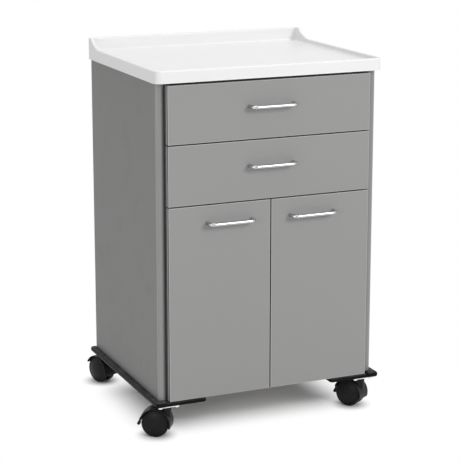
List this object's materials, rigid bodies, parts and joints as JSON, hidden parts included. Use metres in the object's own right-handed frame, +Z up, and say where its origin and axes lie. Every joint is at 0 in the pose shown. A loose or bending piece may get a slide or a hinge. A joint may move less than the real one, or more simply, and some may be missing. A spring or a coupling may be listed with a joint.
{
  "type": "mobile treatment cabinet",
  "caption": "Grey cabinet on swivel casters with a white raised-edge worktop, drawers above and a double-door cupboard below, with chrome bow handles.",
  "frame": {"origin": "on the floor under the middle of the whole outline, seen from above", "axes": "+Z up, -Y towards the front with the drawers and doors, +X to the right as seen from the front"},
  "size_m": [0.6504, 0.568, 0.956],
  "materials": {
    "grey_laminate": "smooth satin laminate on board",
    "grey_moulding": "semi-gloss vinyl edge moulding",
    "white_worktop": "smooth white moulded plastic",
    "pale_board": "pale melamine on board",
    "core_board": "raw particle board",
    "black_rail": "gloss black",
    "caster_black": "black moulded nylon",
    "chrome": "polished",
    "nickel_steel": "nickel plated",
    "zinc_steel": "bright zinc plated"
  },
  "bodies": {
    "cabinet": {"worktop": "white_worktop", "worktop_board": "core_board", "left_side_panel": "grey_laminate", "right_side_panel": "grey_laminate", "left_edge_moulding": "grey_moulding", "right_edge_moulding": "grey_moulding", "left_inner_side": "pale_board", "right_inner_side": "pale_board", "back_panel": "pale_board", "bottom_panel": "pale_board", "divider_panel": "pale_board", "top_rails": "pale_board", "shelf": "pale_board", "shelf_pins": "nickel_steel", "slide_cabinet_members": "zinc_steel", "hinge_arms": "nickel_steel", "hinge_plates": "nickel_steel", "left_base_rail": "black_rail", "right_base_rail": "black_rail", "caster_plates": "zinc_steel", "caster_kingpins": "zinc_steel", "caster_plate_bolts": "zinc_steel", "carcass_screws": "zinc_steel", "back_panel_screws": "zinc_steel", "worktop_screws": "zinc_steel", "hinge_plate_screws": "zinc_steel", "slide_screws": "zinc_steel"},
    "upper_drawer": {"upper_drawer_front": "grey_laminate", "upper_drawer_box": "pale_board", "upper_drawer_bottom": "pale_board", "upper_drawer_handle": "chrome", "upper_drawer_handle_screws": "zinc_steel", "upper_drawer_slide_drawer_members": "zinc_steel"},
    "upper_drawer_slide_middle": {"upper_drawer_slide_middle_members": "zinc_steel"},
    "lower_drawer": {"lower_drawer_front": "grey_laminate", "lower_drawer_box": "pale_board", "lower_drawer_bottom": "pale_board", "lower_drawer_handle": "chrome", "lower_drawer_handle_screws": "zinc_steel", "lower_drawer_slide_drawer_members": "zinc_steel"},
    "lower_drawer_slide_middle": {"lower_drawer_slide_middle_members": "zinc_steel"},
    "left_door": {"left_door": "grey_laminate", "left_door_handle": "chrome", "left_door_handle_screws": "zinc_steel", "left_door_hinge_cups": "nickel_steel"},
    "right_door": {"right_door": "grey_laminate", "right_door_handle": "chrome", "right_door_handle_screws": "zinc_steel", "right_door_hinge_cups": "nickel_steel"},
    "front_left_caster": {"front_left_caster_hood": "caster_black"},
    "front_left_wheel_pair": {"front_left_caster_wheels": "caster_black"},
    "front_left_brake": {"front_left_brake_lever": "caster_black"},
    "front_right_caster": {"front_right_caster_hood": "caster_black"},
    "front_right_wheel_pair": {"front_right_caster_wheels": "caster_black"},
    "front_right_brake": {"front_right_brake_lever": "caster_black"},
    "back_left_caster": {"back_left_caster_hood": "caster_black"},
    "back_left_wheel_pair": {"back_left_caster_wheels": "caster_black"},
    "back_right_caster": {"back_right_caster_hood": "caster_black"},
    "back_right_wheel_pair": {"back_right_caster_wheels": "caster_black"}
  },
  "joints": [
    {"name": "upper_drawer_slide", "type": "slide", "parent": "cabinet", "child": "upper_drawer", "axis": [0, -1, 0], "range_m": [0, 0.38]},
    {"name": "upper_drawer_slide_middle_slide", "type": "slide", "parent": "cabinet", "child": "upper_drawer_slide_middle", "axis": [0, -1, 0], "range_m": [0, 0.19]},
    {"name": "lower_drawer_slide", "type": "slide", "parent": "cabinet", "child": "lower_drawer", "axis": [0, -1, 0], "range_m": [0, 0.38]},
    {"name": "lower_drawer_slide_middle_slide", "type": "slide", "parent": "cabinet", "child": "lower_drawer_slide_middle", "axis": [0, -1, 0], "range_m": [0, 0.19]},
    {"name": "left_door_hinge", "type": "hinge", "parent": "cabinet", "child": "left_door", "pos_m": [-0.25321, -0.24533, 0.346], "axis": [0, 0, -1], "range_deg": [0, 95]},
    {"name": "right_door_hinge", "type": "hinge", "parent": "cabinet", "child": "right_door", "pos_m": [0.27959, -0.24533, 0.346], "axis": [0, 0, 1], "range_deg": [0, 95]},
    {"name": "front_left_caster_swivel", "type": "hinge", "parent": "cabinet", "child": "front_left_caster", "pos_m": [-0.26081, -0.22203, 0.08], "axis": [0, 0, 1], "continuous": true},
    {"name": "front_left_wheel_roll", "type": "hinge", "parent": "front_left_caster", "child": "front_left_wheel_pair", "pos_m": [-0.28071, -0.20861, 0.035], "axis": [-0.5592, -0.829, 0], "continuous": true},
    {"name": "front_left_brake_hinge", "type": "hinge", "parent": "front_left_caster", "child": "front_left_brake", "pos_m": [-0.3121, -0.18744, 0.04515], "axis": [-0.5592, -0.829, 0], "range_deg": [0, 12]},
    {"name": "front_right_caster_swivel", "type": "hinge", "parent": "cabinet", "child": "front_right_caster", "pos_m": [0.28719, -0.22203, 0.08], "axis": [0, 0, 1], "continuous": true},
    {"name": "front_right_wheel_roll", "type": "hinge", "parent": "front_right_caster", "child": "front_right_wheel_pair", "pos_m": [0.27377, -0.20213, 0.035], "axis": [-0.829, -0.5592, 0], "continuous": true},
    {"name": "front_right_brake_hinge", "type": "hinge", "parent": "front_right_caster", "child": "front_right_brake", "pos_m": [0.25259, -0.17074, 0.04515], "axis": [-0.829, -0.5592, 0], "range_deg": [0, 12]},
    {"name": "back_left_caster_swivel", "type": "hinge", "parent": "cabinet", "child": "back_left_caster", "pos_m": [-0.26081, 0.21997, 0.08], "axis": [0, 0, 1], "continuous": true},
    {"name": "back_left_wheel_roll", "type": "hinge", "parent": "back_left_caster", "child": "back_left_wheel_pair", "pos_m": [-0.26941, 0.24238, 0.035], "axis": [-0.9336, -0.3584, 0], "continuous": true},
    {"name": "back_right_caster_swivel", "type": "hinge", "parent": "cabinet", "child": "back_right_caster", "pos_m": [0.28719, 0.21997, 0.08], "axis": [0, 0, 1], "continuous": true},
    {"name": "back_right_wheel_roll", "type": "hinge", "parent": "back_right_caster", "child": "back_right_wheel_pair", "pos_m": [0.27241, 0.23888, 0.035], "axis": [-0.788, -0.6157, 0], "continuous": true}
  ],
  "couplings": [
    {"joint": "upper_drawer_slide_middle_slide", "follows": "upper_drawer_slide", "ratio": 0.5},
    {"joint": "lower_drawer_slide_middle_slide", "follows": "lower_drawer_slide", "ratio": 0.5}
  ]
}
